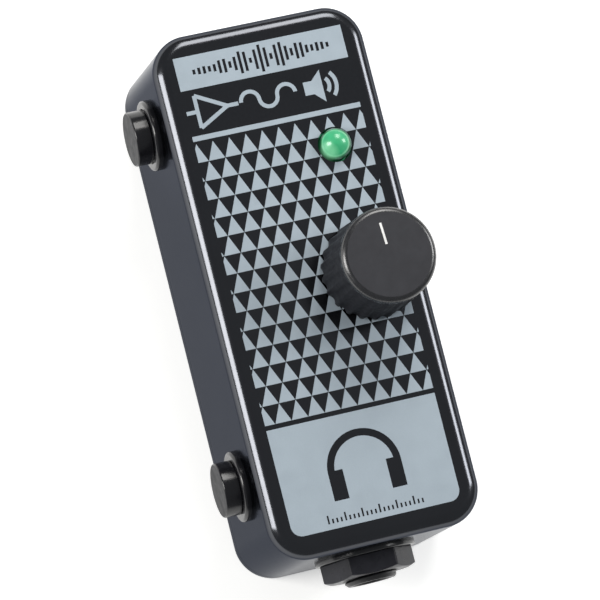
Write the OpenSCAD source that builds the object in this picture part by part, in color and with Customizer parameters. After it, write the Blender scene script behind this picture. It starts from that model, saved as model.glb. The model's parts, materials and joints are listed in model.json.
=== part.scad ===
// Pocket headphone amplifier in a small die-cast case. All sizes in millimetres.
// Origin: centre of the back cover's outer face. +Z points out of the front face,
// +Y to the title end, +X to the right when the front face is seen.

/* [Case] */
// Width of the case
case_w = 38.5; // [38.5:0.5:40]
// Length of the case
case_l = 94; // [94:0.5:98]
// Height of the case, back cover to front face
case_h = 31; // [31:0.25:33]
// Radius of the four upright corners
corner_r = 6.8; // [6:0.1:7.4]
// Radius of the rounded edge around the front face
edge_r = 2.5; // [1.5:0.1:2.8]
// Thickness of the side walls
wall_t = 2; // [1.6:0.1:2]
// Thickness of the front face
face_t = 2.2; // [1.8:0.1:2.2]
// Thickness of the back cover
cover_t = 2.5; // [2:0.1:2.5]

/* [Volume knob] */
// Knob axis, distance right of the centre line
knob_x = 9.3; // [8.8:0.1:9.6]
// Knob axis, distance above the middle of the case
knob_y = -0.6; // [-2:0.1:2]
// Height of the knob
knob_h = 15.5; // [14:0.25:17]
// Radius of the knob at its foot
knob_foot_r = 8.8; // [8.6:0.1:9.2]
// Radius of the knob under its rounded top edge
knob_rim_r = 8.4; // [8.3:0.1:8.5]
// Number of flutes around the knob
knob_flutes = 22; // [16:1:26]
// Angle of the pointer from twelve o'clock at rest
pointer_angle = 3; // [-20:1:20]

/* [Lamp] */
// Lamp axis, distance right of the centre line
lamp_x = 9; // [8:0.1:10]
// Lamp axis, distance above the middle of the case
lamp_y = 22.35; // [21:0.05:23]
// Radius of the lamp's dome
lamp_r = 2.8; // [2.5:0.1:2.9]

/* [Jacks] */
// Height of the input jack's axis above the back
input_z = 15.2; // [14.8:0.1:15.6]
// Height of the two side jacks' axes above the back
side_jack_z = 17.9; // [17.6:0.1:18.2]
// 6.35 mm phones jack, distance above the middle of the case
phones_y = 32.8; // [32.6:0.1:33]
// 3.5 mm phones jack, distance above the middle of the case
mini_y = -31; // [-31.5:0.1:-30.5]
// Radius of the hole that takes a 6.35 mm plug
plug_bore_r = 3.25; // [3.2:0.01:3.3]
// Radius of the dust caps' heads
cap_r = 4.85; // [4.8:0.05:5]
// Height of the dust caps' heads
cap_h = 2.95; // [2.5:0.05:3.5]

/* [Print] */
// Half the width of the printed area
print_half_w = 15.37; // [15:0.01:15.5]
// Height of one row of printed triangles
row_pitch = 3.373; // [3.3:0.001:3.4]
// Width of one printed triangle
triangle_w = 3; // [2.9:0.05:3.1]

/* [Hidden] */
$fn = 64;

// Through-cuts run past a surface by this much
over = 1;

// Case
inner_top = case_h - face_t;
wall_x = case_w / 2;
wall_y = case_l / 2;
cavity_w = case_w - 2 * wall_t;
cavity_l = case_l - 2 * wall_t;
corner_steps = 12;
edge_steps = 6;
back_edge_r = 0.6;
screw_x = wall_x - 4.25;
screw_y = wall_y - 4.25;
boss_r = 3.6;
screw_r = 1.48;
screw_hole_r = 1.5;
screw_end = 10.5;
screw_head_r = 2.8;
screw_recess = 0.15;
head_h = 1.5;
lip_h = 1.5;
lip_t = 1.5;
lip_gap = 0.3;

// Potentiometer and knob
knob_base = case_h + 0.5;
knob_top = knob_base + knob_h;
top_edge_r = 1.15;
recess_r = 6.4;
recess_top = case_h + 3.6;
shaft_r = 3;
shaft_gap = 0.05;
shaft_bottom = 24;
shaft_top = knob_top - 3;
flat_from = case_h + 5;
flat_depth = 1.5;
bore_above = 0.3;
bore_gap = 0.02;
clip = [3.8, 0.4, 7.4];
clip_gap = 0.05;
shaft_flat_y = -shaft_r + flat_depth;
bushing_r = 3.5;
bushing_hole_r = 3.6;
bushing_top = case_h + 3;
pot_w = 9.8;
pot_l = 11;
track_r = 4.4;
pot_pin = [0.8, 0.3];
pot_pin_pitch = 2.5;
pot_pin_y = -pot_l / 2 + 1;
pot_washer_r = 5.6;
pot_washer_t = 0.4;
pointer_in = 1.8;
pointer_out = 5.6;
pointer_w = 0.4;
pointer_t = 0.3;

// Circuit board
board_w = 33;
board_l = 46.8;
board_y = 3;
board_t = 1.6;
board_top = inner_top - 6.6;
board_bottom = board_top - board_t;
pin_pitch = 2.54;
pin_below = 1;

// Lamp
lamp_hole_r = 3.1;
lamp_bottom = 26;
lamp_centre = case_h + 0.4;
lamp_flange = [0.25, 1];
lead_w = 0.5;
lead_hole_r = 0.4;

// Jacks
nose_r = 4.76;
nose_hole_r = 4.9;
mini_nose_r = 3.4;
mini_bore_r = 1.8;
mini_hole_r = 3.55;
input_half_w = 6.2;
input_half_h = 6;
input_rear = -21;
input_nose_end = -wall_y - 5.4;
washer_r = 9;
washer_t = 0.8;
hex_r = 8.4;
hex_t = 3.5;
hex_turn = 6;
side_nut_r = 6.3;
side_nut_t = 1.2;
phones_rear = 11.3;
mini_rear = -6.4;
mini_half = 4;
jack_wall = 1;
front_wall = 1.8;
nose_bevel = 0.4;
tail_slot_h = 2.4;
leaf_t = 0.35;
leaf_w = 3;
stem_len = 7.5;
stem_gap = 0.05;

// Battery
cell_r = 5.25;
cell_len = 44;
cell_x = 5.6;
tape_t = 0.8;
holder_floor = 1;
holder_z = cover_t + tape_t;
cell_gap = 0.1;
cell_z = holder_z + holder_floor + cell_r + cell_gap;
holder_half_w = 12.2;
holder_l = 47;
holder_end_t = 0.8;
contact_t = 0.3;
plate_h = 6;

// Print, from the title end down
ink_t = 0.05;
ink_gap = 0.03;
print_shift = -0.15;
band_top = 42.97;
band_bottom = 37.03;
bar_top = 28.85;
bar_bottom = 27.95;
rows_top = 27.55;
rows = 15;
panel_top = -23.9;
panel_bottom = -42.98;
line_w = 0.7;

// Outline of a rectangle with round corners, centred
function rounded_outline(w, l, r, n = corner_steps) = [
    for (q = [0:3])
        let (cx = (q == 0 || q == 3 ? 1 : -1) * (w / 2 - r), cy = (q < 2 ? 1 : -1) * (l / 2 - r))
            for (k = [0:n])
                let (a = 90 * (q + k / n)) [cx + r * cos(a), cy + r * sin(a)]
];

module rounded_plate(w, l, r, h) {
    linear_extrude(h) polygon(rounded_outline(w, l, r));
}

// Layers whose hull is a slab with a round edge of radius r at the top
module round_edge_layers(w, l, corner, r, h, steps) {
    thin = 0.01;
    rounded_plate(w, l, corner, h - r);
    for (k = [1:steps])
        let (a = 90 * k / steps, inset = r * (1 - cos(a)))
            translate([0, 0, h - r + r * sin(a) - thin])
                rounded_plate(w - 2 * inset, l - 2 * inset, corner - inset, thin);
}

module at_cover_screws() {
    for (sx = [-1, 1], sy = [-1, 1]) translate([sx * screw_x, sy * screw_y, 0]) children();
}

module at_knob() { translate([knob_x, knob_y, 0]) children(); }
module at_lamp() { translate([lamp_x, lamp_y, 0]) children(); }

// Local +Z runs out of the case along the jack's axis, with z = 0 on the outside of the wall
module at_input_jack() { translate([0, -wall_y, input_z]) rotate([90, 0, 0]) children(); }
module at_side_jack(y) { translate([-wall_x, y, side_jack_z]) rotate([0, -90, 0]) children(); }

function unit(v) = v / norm(v);

// Catmull-Rom curve through hand-chosen points, m steps to each stretch
function curve_point(p, i, t) =
    let (n = len(p) - 1, a = p[max(i - 1, 0)], b = p[i], c = p[min(i + 1, n)], d = p[min(i + 2, n)])
        0.5 * (2 * b + (c - a) * t + (2 * a - 5 * b + 4 * c - d) * t * t
               + (3 * b - a - 3 * c + d) * t * t * t);
function smooth_route(p, m = 4) = concat(
    [for (i = [0:len(p) - 2], k = [0:m - 1]) curve_point(p, i, k / m)], [p[len(p) - 1]]);

// Insulated wire of radius r along a route
module wire(points, r = 0.55, sides = 8) {
    p = smooth_route(points);
    n = len(p);
    aside = [0.31, 0.52, 0.8];
    ring = [for (i = [0:n - 1])
        let (t = unit(p[min(i + 1, n - 1)] - p[max(i - 1, 0)]), u = unit(cross(t, aside)), v = cross(t, u))
            for (k = [0:sides - 1])
                p[i] + r * (cos(360 * k / sides) * u + sin(360 * k / sides) * v)];
    skin = [for (i = [0:n - 2], k = [0:sides - 1])
        [i * sides + k, (i + 1) * sides + k,
         (i + 1) * sides + (k + 1) % sides, i * sides + (k + 1) % sides]];
    ends = [[for (k = [0:sides - 1]) k], [for (k = [sides - 1:-1:0]) (n - 1) * sides + k]];
    polyhedron(ring, concat(skin, ends));
}

// ---- Case ----

module enclosure_shell() color("#26272b") {
    difference() {
        translate([0, 0, cover_t])
            hull() round_edge_layers(case_w, case_l, corner_r, edge_r, case_h - cover_t, edge_steps);
        difference() {
            translate([0, 0, cover_t - over])
                rounded_plate(cavity_w, cavity_l, corner_r - wall_t, inner_top - cover_t + over);
            at_cover_screws() cylinder(r = boss_r, h = case_h);
        }
        at_cover_screws() translate([0, 0, cover_t - over])
            cylinder(r = screw_hole_r, h = screw_end - cover_t + over + 1);
        at_knob() translate([0, 0, inner_top - over])
            cylinder(r = bushing_hole_r, h = face_t + 2 * over);
        at_lamp() translate([0, 0, inner_top - over])
            cylinder(r = lamp_hole_r, h = face_t + 2 * over);
        at_input_jack() translate([0, 0, -wall_t - over])
            cylinder(r = nose_hole_r, h = wall_t + 2 * over);
        at_side_jack(phones_y) translate([0, 0, -wall_t - over])
            cylinder(r = nose_hole_r, h = wall_t + 2 * over);
        at_side_jack(mini_y) translate([0, 0, -wall_t - over])
            cylinder(r = mini_hole_r, h = wall_t + 2 * over);
    }
}

module back_cover() color("#26272b") {
    seat_r = 2.95;
    clear_r = 1.7;
    difference() {
        union() {
            translate([0, 0, cover_t]) mirror([0, 0, 1])
                hull() round_edge_layers(case_w, case_l, corner_r, back_edge_r, cover_t, 3);
            difference() {
                rounded_plate(cavity_w - 2 * lip_gap, cavity_l - 2 * lip_gap,
                              corner_r - wall_t - lip_gap, cover_t + lip_h);
                translate([0, 0, cover_t])
                    rounded_plate(cavity_w - 2 * (lip_gap + lip_t), cavity_l - 2 * (lip_gap + lip_t),
                                  corner_r - wall_t - lip_gap - lip_t, lip_h + over);
                at_cover_screws() translate([0, 0, cover_t])
                    cylinder(r = boss_r + 0.4, h = lip_h + over);
            }
        }
        at_cover_screws() rotate_extrude()
            polygon([[0, -over], [seat_r, -over], [seat_r, screw_recess],
                     [clear_r, screw_recess + head_h], [clear_r, cover_t + over], [0, cover_t + over]]);
    }
}

module cover_screws() color("#3a3b3f") {
    slot_w = 0.7;
    slot_l = 3;
    at_cover_screws() difference() {
        rotate_extrude() polygon([[0, screw_recess], [screw_head_r, screw_recess],
                                  [screw_r, screw_recess + head_h], [screw_r, screw_end], [0, screw_end]]);
        for (a = [0, 90]) rotate(a) translate([-slot_l / 2, -slot_w / 2, 0])
            cube([slot_l, slot_w, 1.1]);
    }
}

// One printed triangle, clipped to the printed width: its apex points to the title end
function clipped_triangle(xc, yb) =
    let (h = triangle_w / 2 - ink_gap, rise = row_pitch - 2 * ink_gap,
         lo = max(xc - h, -print_half_w), hi = min(xc + h, print_half_w), apex = min(max(xc, lo), hi),
         top = function (x) yb + rise * (1 - abs(x - xc) / h))
        [[lo, yb], [hi, yb], [hi, top(hi)], [apex, top(apex)], [lo, top(lo)]];

function without_repeats(p) = [for (i = [0:len(p) - 1])
    if (norm(p[i] - p[(i + 1) % len(p)]) > ink_gap / 2) p[i]];

module print_block(x0, y0, x1, y1) {
    translate([x0, y0]) square([x1 - x0, y1 - y0]);
}

// Stroke of width w from a to b
module stroke(a, b, w = line_w) {
    d = b - a;
    translate(a) rotate(atan2(d.y, d.x)) translate([0, -w / 2]) square([norm(d), w]);
}

// Part of a ring between two angles, as a band of width w along radius r
module arc(r, from, to, w = line_w, steps = 24) {
    polygon(concat(
        [for (k = [0:steps]) let (a = from + (to - from) * k / steps) (r + w / 2) * [cos(a), sin(a)]],
        [for (k = [steps:-1:0]) let (a = from + (to - from) * k / steps) (r - w / 2) * [cos(a), sin(a)]]));
}

// Row of bars like a sound wave, which stands where a title would be
module sound_bars() {
    bars = 27;
    pitch = 0.94;
    bar_w = 0.52;
    tallest = 2.1;
    for (k = [0:bars - 1])
        let (x = (k - (bars - 1) / 2) * pitch,
             half = 0.35 + tallest * abs(sin(47 * k + 20)) * (0.55 + 0.45 * cos(13 * (k - bars / 2))))
            translate([x - bar_w / 2, (band_top + band_bottom) / 2 - half]) square([bar_w, 2 * half]);
}

// Three plain signs between the title band and the bar: amplifier, wave and speaker
module thin_signs() {
    low = 30.1;
    high = 35.9;
    mid = (low + high) / 2;
    half = (high - low) / 2;
    tri_l = 5.4;
    translate([-10.6, mid]) {
        stroke([-tri_l / 2, -half], [-tri_l / 2, half]);
        stroke([-tri_l / 2, half], [tri_l / 2, 0]);
        stroke([-tri_l / 2, -half], [tri_l / 2, 0]);
        stroke([-tri_l / 2 - 2, 0], [-tri_l / 2, 0]);
        stroke([tri_l / 2, 0], [tri_l / 2 + 2, 0]);
    }
    wave_r = half / 2 + 0.2;
    translate([-0.4, mid]) for (k = [0:2])
        translate([(k - 1) * 2 * wave_r, 0]) arc(wave_r, k % 2 * 180, k % 2 * 180 + 180);
    translate([8.4, mid]) {
        polygon([[-2.2, -1.2], [-0.6, -1.2], [1.2, -half], [1.2, half], [-0.6, 1.2], [-2.2, 1.2]]);
        for (k = [1:2]) translate([0.6, 0]) arc(1.3 * k + 0.5, -42, 42);
    }
}

// Plain sign of a pair of headphones, cut out of the panel
module headphones_sign() {
    band_r = 6;
    band_w = 1.3;
    cup = [2.7, 5.2];
    sit = -33.6;
    translate([0, sit]) {
        arc(band_r, 0, 180, band_w);
        for (s = [-1, 1]) {
            translate([s * band_r - band_w / 2, -1]) square([band_w, 1.2]);
            translate([s * (band_r + (band_w - cup.x) / 2) - cup.x / 2, -4.8]) square([cup.x, cup.y]);
        }
    }
}

// Panel with its two lower corners rounded
module panel_outline() {
    r = 2;
    print_block(-print_half_w, panel_bottom + r, print_half_w, panel_top);
    print_block(-print_half_w + r, panel_bottom, print_half_w - r, panel_bottom + r + ink_gap);
    for (s = [-1, 1]) translate([s * (print_half_w - r), panel_bottom + r]) circle(r = r);
}

// Row of small marks under the sign
module scale_marks() {
    marks = 23;
    pitch = 0.78;
    for (k = [0:marks - 1])
        let (h = k % 4 == 0 ? 1.5 : 0.8)
            translate([(k - (marks - 1) / 2) * pitch - 0.16, -42]) square([0.32, h]);
}

module face_print() color("#bcc3c9") {
    smallest = 0.35;
    span = ceil(print_half_w / triangle_w) + 1;
    translate([print_shift, 0, case_h]) linear_extrude(ink_t) {
        difference() {
            print_block(-print_half_w, band_bottom, print_half_w, band_top);
            sound_bars();
        }
        thin_signs();
        print_block(-print_half_w, bar_bottom, print_half_w, bar_top);
        difference() {
            for (i = [0:rows - 1], k = [-span:span])
                let (xc = (k + (i % 2) / 2) * triangle_w)
                    if (abs(xc) < print_half_w + triangle_w / 2 - smallest)
                        polygon(without_repeats(clipped_triangle(xc, rows_top - (i + 1) * row_pitch)));
            translate([lamp_x - print_shift, lamp_y]) circle(r = lamp_hole_r + 0.05);
            translate([knob_x - print_shift, knob_y]) circle(r = pot_washer_r + 0.3);
        }
        difference() {
            panel_outline();
            headphones_sign();
            scale_marks();
        }
    }
}

// ---- Knob ----

module knob_body() color("#34353a") {
    foot = knob_base;
    rim = knob_top - top_edge_r;
    flat_r = knob_rim_r - top_edge_r;
    edge = [for (a = [0:15:90]) [flat_r + top_edge_r * cos(a), rim + top_edge_r * sin(a)]];
    flute_r = 1;
    at_knob() difference() {
        rotate_extrude() polygon(concat([[0, foot], [knob_foot_r, foot]], edge, [[0, knob_top]]));
        for (k = [0:knob_flutes - 1]) rotate(360 * (k + 0.5) / knob_flutes)
            translate([knob_foot_r + flute_r / 2, 0, foot - over])
                cylinder(r = flute_r, h = rim - foot + over - 0.6);
        translate([0, 0, foot - over]) cylinder(r = recess_r, h = recess_top - foot + over);
        rotate(pointer_angle) {
            difference() {
                translate([0, 0, foot]) cylinder(r = shaft_r + bore_gap, h = shaft_top - foot + bore_above);
                translate([-shaft_r - over, -shaft_r - over, flat_from + bore_above])
                    cube([2 * (shaft_r + over), flat_depth + over, shaft_top]);
            }
            translate([-clip.x / 2 - 2 * clip_gap, shaft_flat_y - clip.y - 2 * clip_gap, flat_from])
                cube([clip.x + 4 * clip_gap, clip.y + over, shaft_top + bore_above - flat_from]);
            translate([-pointer_w / 2, pointer_in, knob_top - pointer_t])
                cube([pointer_w, pointer_out - pointer_in, pointer_t + over]);
        }
    }
}

module knob_pointer() color("#e9e9e6") {
    at_knob() rotate(pointer_angle) translate([-pointer_w / 2, pointer_in, knob_top - pointer_t])
        cube([pointer_w, pointer_out - pointer_in, pointer_t]);
}

// Leaf that grips the flat of the shaft, held in a slot that opens into the knob's bore
module knob_clip() color("#b9bcc0") {
    at_knob() rotate(pointer_angle)
        translate([-clip.x / 2, shaft_flat_y - clip_gap - clip.y, flat_from + bore_above]) cube(clip);
}

// ---- Potentiometer ----

module pot_housing() color("#8f9398") {
    cavity_bottom = shaft_bottom - 0.4;
    at_knob() difference() {
        union() {
            translate([-pot_w / 2, -pot_l / 2, board_top]) cube([pot_w, pot_l, inner_top - board_top]);
            translate([0, 0, inner_top]) cylinder(r = bushing_r, h = bushing_top - inner_top);
        }
        translate([0, 0, cavity_bottom]) cylinder(r = track_r + 0.1, h = 3.4);
        translate([0, 0, cavity_bottom])
            cylinder(r = shaft_r + shaft_gap, h = bushing_top - cavity_bottom + over);
    }
}

module pot_shaft() color("#c3c6ca") {
    at_knob() rotate(pointer_angle) difference() {
        translate([0, 0, shaft_bottom]) cylinder(r = shaft_r, h = shaft_top - shaft_bottom);
        translate([-shaft_r - over, -shaft_r - over, flat_from])
            cube([2 * (shaft_r + over), flat_depth + over, shaft_top]);
    }
}

module pot_wiper() color("#c9a35a") {
    at_knob() rotate(pointer_angle) translate([0, 0, shaft_bottom + 0.4]) difference() {
        cylinder(r = track_r - 0.3, h = 0.8);
        translate([0, 0, -over]) cylinder(r = shaft_r, h = 3 * over);
    }
}

module pot_washer() color("#c3c6ca") {
    at_knob() translate([0, 0, case_h]) difference() {
        cylinder(r = pot_washer_r, h = pot_washer_t);
        translate([0, 0, -over]) cylinder(r = bushing_hole_r, h = 3 * over);
    }
}

module pot_nut() color("#c3c6ca") {
    nut_t = 2;
    pot_nut_r = 5.77;
    at_knob() translate([0, 0, case_h + pot_washer_t]) difference() {
        cylinder(r = pot_nut_r, h = nut_t, $fn = 6);
        translate([0, 0, -over]) cylinder(r = bushing_hole_r, h = nut_t + 2 * over);
    }
}

module pot_terminals() color("#d0d3d6") {
    at_knob() for (k = [-1:1])
        translate([k * pot_pin_pitch - pot_pin.x / 2, pot_pin_y, board_bottom - pin_below])
            cube([pot_pin.x, pot_pin.y, board_t + pin_below]);
}

// ---- Lamp ----

module lamp_lens() color([0.2, 0.8, 0.45, 0.8]) {
    at_lamp() union() {
        translate([0, 0, lamp_bottom]) cylinder(r = lamp_r, h = lamp_centre - lamp_bottom);
        translate([0, 0, lamp_bottom]) cylinder(r = lamp_r + lamp_flange[0], h = lamp_flange[1]);
        translate([0, 0, lamp_centre]) difference() {
            sphere(r = lamp_r);
            translate([0, 0, -2 * lamp_r]) cylinder(r = 2 * lamp_r, h = 2 * lamp_r);
        }
    }
}

module at_lamp_leads() {
    for (s = [-1, 1]) translate([lamp_x + s * pin_pitch / 2, lamp_y, 0]) children();
}

module lamp_leads() color("#c9ccd0") {
    at_lamp_leads() translate([-lead_w / 2, -lead_w / 2, board_bottom - pin_below])
        cube([lead_w, lead_w, lamp_bottom - board_bottom + pin_below]);
}

module lamp_spacer() color("#202124") {
    difference() {
        at_lamp() translate([0, 0, board_top]) cylinder(r = lamp_r, h = lamp_bottom - board_top);
        at_lamp_leads() translate([0, 0, board_top - over])
            cylinder(r = lead_hole_r, h = lamp_bottom - board_top + 2 * over);
    }
}

// ---- Jacks ----

// Hollow jack body along local Z: a box inside the wall, and a round threaded nose through it
module jack_body(half_w, half_h, rear, nose_end, nose_radius, bore_r) {
    front = -wall_t;
    difference() {
        union() {
            translate([-half_w, -half_h, rear]) cube([2 * half_w, 2 * half_h, front - rear]);
            translate([0, 0, front]) cylinder(r = nose_radius, h = nose_end - front - nose_bevel);
            translate([0, 0, nose_end - nose_bevel])
                cylinder(r1 = nose_radius, r2 = nose_radius - nose_bevel, h = nose_bevel);
        }
        translate([-half_w + jack_wall, -half_h + jack_wall, rear + jack_wall])
            cube([2 * (half_w - jack_wall), 2 * (half_h - jack_wall),
                  front - front_wall - rear - jack_wall]);
        translate([0, 0, front - front_wall - over])
            cylinder(r = bore_r, h = nose_end - front + front_wall + 2 * over);
    }
}

// Opening in a side wall of a jack body for a contact's tail
module tail_slot(half, along, w = leaf_w) {
    slack = 0.3;
    translate([half - jack_wall - over, -w / 2 - slack, along - tail_slot_h / 2])
        cube([jack_wall + 2 * over, w + 2 * slack, tail_slot_h]);
}

// Spring leaf on the local +X side: its tail leaves through the side wall at height root,
// and its bend presses on the plug at height press
module leaf(half, root, press, rest_r) {
    x0 = half - jack_wall - 0.75;
    tail_out = half + 1.8;
    tip = press - 2.2;
    outline = [[tail_out, root], [x0, root], [rest_r, press], [rest_r + 0.9, tip],
               [rest_r + 0.9 + leaf_t, tip], [rest_r + leaf_t * 1.25, press],
               [x0 + leaf_t, root - leaf_t * 1.2], [tail_out, root - leaf_t * 1.2]];
    translate([0, leaf_w / 2, 0]) rotate([90, 0, 0]) linear_extrude(leaf_w) polygon(outline);
}

leaf_root = -6;
phones_root = leaf_root - 4;
input_tip_press = -22.5;
input_ring_press = -15;
phones_tip_press = -24;
phones_ring_press = -17;
leaf_rest_r = 2.5;
ring_rest_r = 2.9;
sleeve_w = 2;
mini_root = -9;
mini_leaf_w = 1.2;

module input_jack_body() color("#1d1e21") {
    at_input_jack() difference() {
        jack_body(input_half_w, input_half_h, -wall_y - input_rear, -wall_y - input_nose_end,
                  nose_r, plug_bore_r);
        tail_slot(input_half_w, leaf_root);
        mirror([1, 0, 0]) tail_slot(input_half_w, leaf_root);
        rotate(90) tail_slot(input_half_h, leaf_root, sleeve_w);
    }
}

module input_jack_washer() color("#2b2c30") {
    at_input_jack() difference() {
        round_r = 0.3;
        union() {
            cylinder(r = washer_r, h = washer_t - round_r);
            translate([0, 0, washer_t - round_r])
                cylinder(r1 = washer_r, r2 = washer_r - round_r, h = round_r);
        }
        translate([0, 0, -over]) cylinder(r = nose_hole_r, h = washer_t + 2 * over);
    }
}

module input_jack_nut() color("#1d1e21") {
    bevel = 0.5;
    at_input_jack() translate([0, 0, washer_t]) difference() {
        intersection() {
            rotate(30 + hex_turn) cylinder(r = hex_r, h = hex_t, $fn = 6);
            union() {
                cylinder(r = hex_r + 0.1, h = hex_t - bevel);
                translate([0, 0, hex_t - bevel])
                    cylinder(r1 = hex_r + 0.1, r2 = hex_r - 2 * bevel, h = bevel);
            }
        }
        translate([0, 0, -over]) cylinder(r = nose_hole_r, h = hex_t + 2 * over);
    }
}

module input_tip_contact() color("#d8c27a") {
    at_input_jack() leaf(input_half_w, leaf_root, input_tip_press, leaf_rest_r);
}

module input_ring_contact() color("#d8c27a") {
    at_input_jack() mirror([1, 0, 0]) leaf(input_half_w, leaf_root, input_ring_press, ring_rest_r);
}

module input_sleeve_contact() color("#d8c27a") {
    at_input_jack() translate([-sleeve_w / 2, plug_bore_r + 0.1, leaf_root - 0.5])
        cube([sleeve_w, input_half_h + 1.6 - plug_bore_r, leaf_t]);
}

// Round nut with a rounded front edge
module side_nut(hole_r) {
    round_r = 0.5;
    profile = concat([[hole_r, 0], [side_nut_r, 0]],
        [for (a = [0:18:90]) [side_nut_r - round_r + round_r * cos(a),
                              side_nut_t - round_r + round_r * sin(a)]],
        [[hole_r, side_nut_t]]);
    rotate_extrude() polygon(profile);
}

// Push-in cap: a head that covers the nose and a stem that fills the plug hole
module dust_cap(bore_r) {
    bevel = 0.25;
    translate([0, 0, side_nut_t]) union() {
        translate([0, 0, stem_gap]) cylinder(r = cap_r, h = cap_h - stem_gap - bevel);
        translate([0, 0, cap_h - bevel]) cylinder(r1 = cap_r, r2 = cap_r - bevel, h = bevel);
        translate([0, 0, -stem_len]) cylinder(r = bore_r - stem_gap, h = stem_len + 2 * stem_gap);
    }
}

module phones_jack_body() color("#1d1e21") {
    at_side_jack(phones_y) difference() {
        jack_body(input_half_h, input_half_w, -wall_x - phones_rear, side_nut_t, nose_r, plug_bore_r);
        tail_slot(input_half_h, phones_root);
        mirror([1, 0, 0]) tail_slot(input_half_h, phones_root);
        rotate(-90) tail_slot(input_half_w, leaf_root, sleeve_w);
    }
}

module phones_jack_nut() color("#2b2c30") { at_side_jack(phones_y) side_nut(nose_hole_r); }
module phones_jack_cap() color("#2a2b2e") { at_side_jack(phones_y) dust_cap(plug_bore_r); }

module phones_tip_contact() color("#d8c27a") {
    at_side_jack(phones_y) leaf(input_half_h, phones_root, phones_tip_press, leaf_rest_r);
}

module phones_ring_contact() color("#d8c27a") {
    at_side_jack(phones_y) mirror([1, 0, 0])
        leaf(input_half_h, phones_root, phones_ring_press, ring_rest_r);
}

module phones_sleeve_contact() color("#d8c27a") {
    at_side_jack(phones_y) translate([-sleeve_w / 2, -input_half_w - 1.6, leaf_root - 0.5])
        cube([sleeve_w, input_half_w + 1.3 - plug_bore_r, leaf_t]);
}

module mini_jack_body() color("#1d1e21") {
    at_side_jack(mini_y) difference() {
        jack_body(mini_half, mini_half, -wall_x - mini_rear, side_nut_t, mini_nose_r, mini_bore_r);
        for (a = [0, 90, 180]) rotate(a) tail_slot(mini_half, mini_root, mini_leaf_w);
    }
}

module mini_jack_nut() color("#2b2c30") { at_side_jack(mini_y) side_nut(mini_hole_r); }
module mini_jack_cap() color("#2a2b2e") { at_side_jack(mini_y) dust_cap(mini_bore_r); }

// Three fixed leaves along the walls of the small jack, each with a tail through its wall
module mini_jack_contacts() color("#d8c27a") {
    x0 = mini_half - jack_wall - leaf_t - 0.1;
    at_side_jack(mini_y) for (a = [0, 90, 180]) rotate(a) translate([x0, -mini_leaf_w / 2, mini_root]) {
        cube([leaf_t, mini_leaf_w, 5]);
        cube([mini_half + 1.1 - x0, mini_leaf_w, leaf_t]);
    }
}

// ---- Electronics ----

module circuit_board() color("#1f5a3a") {
    difference() {
        translate([-board_w / 2, board_y - board_l / 2, board_bottom]) cube([board_w, board_l, board_t]);
        at_lamp_leads() translate([0, 0, board_bottom - over])
            cylinder(r = lead_hole_r, h = board_t + 2 * over);
        at_knob() for (k = [-1:1])
            translate([k * pot_pin_pitch, pot_pin_y + pot_pin.y / 2, board_bottom - over])
                cylinder(r = 0.6, h = board_t + 2 * over);
    }
}

module amplifier_chip() color("#222326") {
    chip = [6.4, 9.9, 3.3];
    lift = 0.5;
    leg = [0.5, 1.4];
    leg_h = 2.3;
    translate([-6, 8, board_top]) {
        translate([-chip.x / 2, -chip.y / 2, lift]) cube(chip);
        for (s = [-1, 1], k = [-1.5:1.5])
            translate([s * (chip.x + leg.x) / 2, k * pin_pitch, leg_h / 2])
                cube([leg.x, leg.y, leg_h], center = true);
    }
}

module electrolytic_capacitors() color("#2c3148") {
    can_r = 2.5;
    can_h = 5.6;
    for (p = [[-12, 16], [-12, 22.5], [-12, -6]]) translate([p.x, p.y, board_top])
        cylinder(r = can_r, h = can_h);
}

module film_capacitors() color("#a8572c") {
    block = [2.6, 7.2, 5.2];
    for (p = [[-6, -6], [-6, -15]]) translate([p.x - block.x / 2, p.y - block.y / 2, board_top])
        cube(block);
}

module resistors() color("#c8ad85") {
    body_r = 0.95;
    body_l = 3.6;
    for (k = [0:5]) translate([-1.6, 6 + 3 * k, board_top + body_r]) rotate([0, 90, 0])
        cylinder(r = body_r, h = body_l);
}

// ---- Battery ----

module battery_holder() color("#1d1e21") {
    side_top = cell_z;
    end_top = cell_z + 3;
    slot_l = holder_l - 2 * holder_end_t;
    difference() {
        union() {
            translate([-holder_half_w, board_y - holder_l / 2, holder_z])
                cube([2 * holder_half_w, holder_l, side_top - holder_z]);
            for (s = [-1, 1]) translate([-holder_half_w, board_y + s * (holder_l - holder_end_t) / 2
                                         - holder_end_t / 2, holder_z])
                cube([2 * holder_half_w, holder_end_t, end_top - holder_z]);
        }
        for (s = [-1, 1]) translate([s * cell_x, board_y + slot_l / 2, cell_z]) rotate([90, 0, 0])
            cylinder(r = cell_r + cell_gap, h = slot_l);
        for (s = [-1, 1]) translate([s * cell_x - cell_r - cell_gap, board_y - slot_l / 2, cell_z])
            cube([2 * (cell_r + cell_gap), slot_l, cell_r]);
        translate([-cell_x, board_y - slot_l / 2, cell_z - plate_h / 2 - cell_gap])
            cube([2 * cell_x, contact_t + cell_gap, cell_r + plate_h]);
    }
}

// Round cell with its raised positive end at +Y
module cell() {
    nub_r = 1.9;
    nub_h = 0.9;
    translate([0, cell_len / 2 - nub_h, 0]) rotate([90, 0, 0]) cylinder(r = cell_r, h = cell_len - nub_h);
    translate([0, cell_len / 2, 0]) rotate([90, 0, 0]) cylinder(r = nub_r, h = nub_h);
}

spring_gap = holder_l - 2 * holder_end_t - 2 * contact_t - cell_len;

module battery_cell_left() color("#c58b3c") {
    translate([-cell_x, board_y + spring_gap / 2, cell_z]) cell();
}

module battery_cell_right() color("#c58b3c") {
    translate([cell_x, board_y - spring_gap / 2, cell_z]) rotate(180) cell();
}

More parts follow.
